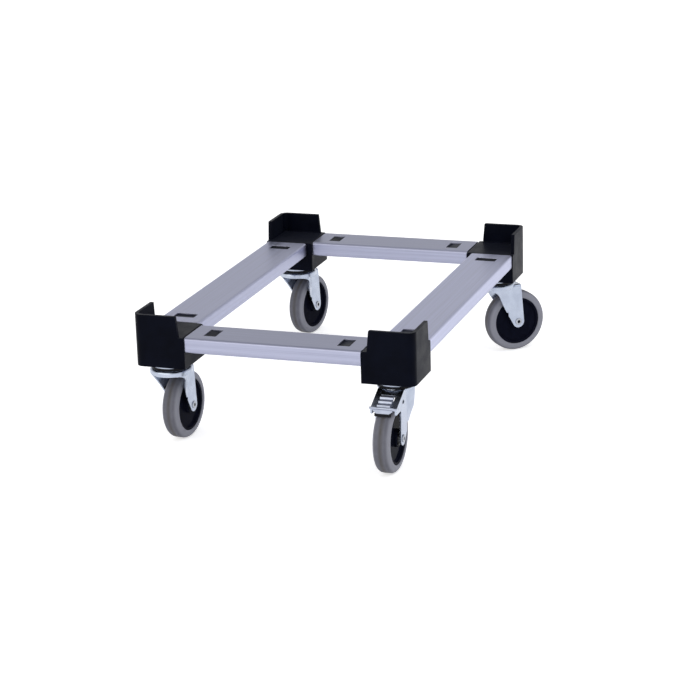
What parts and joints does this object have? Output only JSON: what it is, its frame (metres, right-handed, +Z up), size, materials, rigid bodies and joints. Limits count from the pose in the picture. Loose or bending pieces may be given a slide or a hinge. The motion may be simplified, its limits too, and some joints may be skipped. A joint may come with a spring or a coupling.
{
  "type": "wheeled dolly for a food carrier",
  "caption": "Low open rectangular dolly of rounded aluminium rails plugged into black lipped corner mouldings, on swivel casters with grey tyres and a foot brake.",
  "frame": {"origin": "middle of the load deck, level with the tops of the rails and corner decks", "axes": "+Z up, Y along the long side, X along the short side; the braked caster is at +X -Y"},
  "size_m": [0.4486, 0.7075, 0.205],
  "materials": {
    "corner_plastic": "fine matte moulded texture",
    "rail_aluminium": "extruded, satin anodised along its length",
    "zinc_steel": "pressed sheet, bright blue zinc plated",
    "pedal_steel": "pressed sheet, bright zinc plated",
    "turned_steel": "turned, zinc plated",
    "ball_steel": "polished",
    "seal_plastic": "matte",
    "bush_plastic": "smooth",
    "hub_plastic": "moulded, semi-gloss",
    "tyre_rubber": "non-marking grey rubber, satin"
  },
  "bodies": {
    "frame": {"corner_front_left": "corner_plastic", "corner_front_right": "corner_plastic", "corner_rear_left": "corner_plastic", "corner_rear_right": "corner_plastic", "front_rail": "rail_aluminium", "rear_rail": "rail_aluminium", "left_rail": "rail_aluminium", "right_rail": "rail_aluminium", "stem_inserts": "turned_steel", "king_pin_front_left": "turned_steel", "race_plate_front_left": "zinc_steel", "retaining_washer_front_left": "turned_steel", "king_pin_front_right": "turned_steel", "race_plate_front_right": "zinc_steel", "retaining_washer_front_right": "turned_steel", "king_pin_rear_left": "turned_steel", "race_plate_rear_left": "zinc_steel", "retaining_washer_rear_left": "turned_steel", "king_pin_rear_right": "turned_steel", "race_plate_rear_right": "zinc_steel", "retaining_washer_rear_right": "turned_steel"},
    "caster_front_left": {"fork_front_left": "zinc_steel", "dust_seal_front_left": "seal_plastic", "swivel_balls_front_left": "ball_steel", "axle_rivet_front_left": "turned_steel", "axle_sleeve_front_left": "turned_steel"},
    "wheel_front_left": {"hub_bushes_front_left": "bush_plastic", "hub_front_left": "hub_plastic", "tyre_front_left": "tyre_rubber"},
    "caster_front_right": {"fork_front_right": "zinc_steel", "dust_seal_front_right": "seal_plastic", "swivel_balls_front_right": "ball_steel", "axle_rivet_front_right": "turned_steel", "axle_sleeve_front_right": "turned_steel", "pedal_pin": "turned_steel"},
    "wheel_front_right": {"hub_bushes_front_right": "bush_plastic", "hub_front_right": "hub_plastic", "tyre_front_right": "tyre_rubber"},
    "brake_lever": {"brake_pedal": "pedal_steel", "brake_shoe": "seal_plastic"},
    "caster_rear_left": {"fork_rear_left": "zinc_steel", "dust_seal_rear_left": "seal_plastic", "swivel_balls_rear_left": "ball_steel", "axle_rivet_rear_left": "turned_steel", "axle_sleeve_rear_left": "turned_steel"},
    "wheel_rear_left": {"hub_bushes_rear_left": "bush_plastic", "hub_rear_left": "hub_plastic", "tyre_rear_left": "tyre_rubber"},
    "caster_rear_right": {"fork_rear_right": "zinc_steel", "dust_seal_rear_right": "seal_plastic", "swivel_balls_rear_right": "ball_steel", "axle_rivet_rear_right": "turned_steel", "axle_sleeve_rear_right": "turned_steel"},
    "wheel_rear_right": {"hub_bushes_rear_right": "bush_plastic", "hub_rear_right": "hub_plastic", "tyre_rear_right": "tyre_rubber"}
  },
  "joints": [
    {"name": "swivel_front_left", "type": "hinge", "parent": "frame", "child": "caster_front_left", "pos_m": [-0.171, -0.271, -0.0464], "axis": [0, 0, 1], "continuous": true},
    {"name": "roll_front_left", "type": "hinge", "parent": "caster_front_left", "child": "wheel_front_left", "pos_m": [-0.1687, -0.23808, -0.124], "axis": [-0.9976, 0.0698, 0], "continuous": true},
    {"name": "swivel_front_right", "type": "hinge", "parent": "frame", "child": "caster_front_right", "pos_m": [0.171, -0.271, -0.0464], "axis": [0, 0, 1], "continuous": true},
    {"name": "roll_front_right", "type": "hinge", "parent": "caster_front_right", "child": "wheel_front_right", "pos_m": [0.171, -0.304, -0.124], "axis": [1, 0, 0], "continuous": true},
    {"name": "brake_press", "type": "hinge", "parent": "caster_front_right", "child": "brake_lever", "pos_m": [0.171, -0.325, -0.0742], "axis": [1, 0, 0], "range_deg": [0, 8]},
    {"name": "swivel_rear_left", "type": "hinge", "parent": "frame", "child": "caster_rear_left", "pos_m": [-0.171, 0.271, -0.0464], "axis": [0, 0, 1], "continuous": true},
    {"name": "roll_rear_left", "type": "hinge", "parent": "caster_rear_left", "child": "wheel_rear_left", "pos_m": [-0.1647, 0.30339, -0.124], "axis": [-0.9816, 0.1908, 0], "continuous": true},
    {"name": "swivel_rear_right", "type": "hinge", "parent": "frame", "child": "caster_rear_right", "pos_m": [0.171, 0.271, -0.0464], "axis": [0, 0, 1], "continuous": true},
    {"name": "roll_rear_right", "type": "hinge", "parent": "caster_rear_right", "child": "wheel_rear_right", "pos_m": [0.1959, 0.29265, -0.124], "axis": [-0.6561, 0.7547, 0], "continuous": true}
  ]
}
